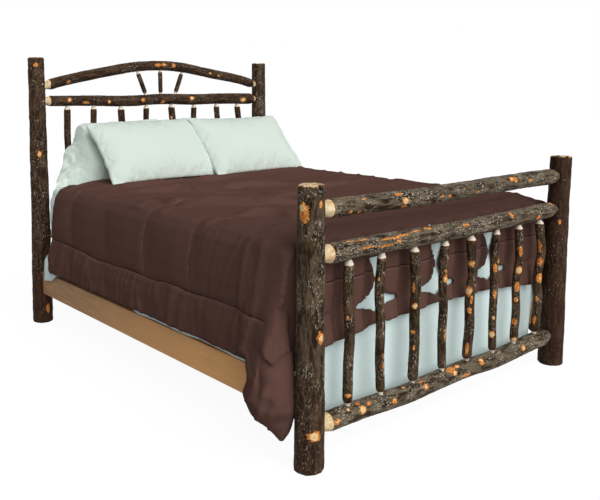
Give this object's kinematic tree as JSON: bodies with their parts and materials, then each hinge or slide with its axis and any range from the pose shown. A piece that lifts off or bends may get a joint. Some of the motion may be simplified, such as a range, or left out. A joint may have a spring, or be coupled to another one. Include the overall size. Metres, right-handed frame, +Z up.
{
  "type": "rustic log bed",
  "caption": "Queen log bed: barked log headboard with an arched rail and spindles, log footboard, plank side rails, slats, mattress set, sheets, quilted comforter and pillows.",
  "frame": {"origin": "on the floor under the middle of the bedstead, the bottom centre of the bounding box", "axes": "+X across the bed towards the side at the right of a viewer at the foot, +Y from the footboard to the headboard, +Z up"},
  "size_m": [1.854, 2.2921, 1.462],
  "materials": {
    "barked_log": "dark furrowed bark, cream shaved ends, orange knots",
    "stained_plank": "honey-brown stained plank, satin lacquer",
    "plain_pine": "plain planed pine",
    "zinc_steel": "zinc-plated steel",
    "ticking": "off-white woven ticking",
    "mint_cotton": "pale mint cotton",
    "blue_cotton": "pale blue-green cotton",
    "brown_satin": "dark brown polyester satin, quilted",
    "mint_sateen": "pale mint striped sateen"
  },
  "bodies": {
    "root": {"box_spring": "ticking", "centre_leg_1": "plain_pine", "centre_leg_2": "plain_pine", "centre_leg_3": "plain_pine", "comforter": "brown_satin", "fan_spindle_centre": "barked_log", "fan_spindle_left": "barked_log", "fan_spindle_right": "barked_log", "fastener_screws": "zinc_steel", "fitted_sheet": "mint_cotton", "flat_sheet": "blue_cotton", "foot_bottom_rail": "barked_log", "foot_middle_rail": "barked_log", "foot_post_left": "barked_log", "foot_post_right": "barked_log", "foot_spindle_1": "barked_log", "foot_spindle_2": "barked_log", "foot_spindle_3": "barked_log", "foot_spindle_4": "barked_log", "foot_spindle_5": "barked_log", "foot_spindle_6": "barked_log", "foot_spindle_7": "barked_log", "foot_spindle_8": "barked_log", "foot_top_rail": "barked_log", "head_arch_rail": "barked_log", "head_lower_rail": "barked_log", "head_post_left": "barked_log", "head_post_right": "barked_log", "head_spindle_1": "barked_log", "head_spindle_2": "barked_log", "head_spindle_3": "barked_log", "head_spindle_4": "barked_log", "head_spindle_5": "barked_log", "head_spindle_6": "barked_log", "head_spindle_7": "barked_log", "head_spindle_8": "barked_log", "head_upper_rail": "barked_log", "ledger_left": "plain_pine", "ledger_right": "plain_pine", "ledger_screws": "zinc_steel", "mattress": "ticking", "pillow_back_left": "mint_sateen", "pillow_back_right": "mint_sateen", "pillow_front_left": "mint_sateen", "pillow_front_right": "mint_sateen", "post_slot_plates": "zinc_steel", "rail_hook_plates": "zinc_steel", "side_rail_left": "stained_plank", "side_rail_right": "stained_plank", "slat_1": "plain_pine", "slat_2": "plain_pine", "slat_3": "plain_pine", "slat_4": "plain_pine", "slat_5": "plain_pine", "slat_screws": "zinc_steel", "tenon_screws": "zinc_steel"}
  },
  "joints": []
}
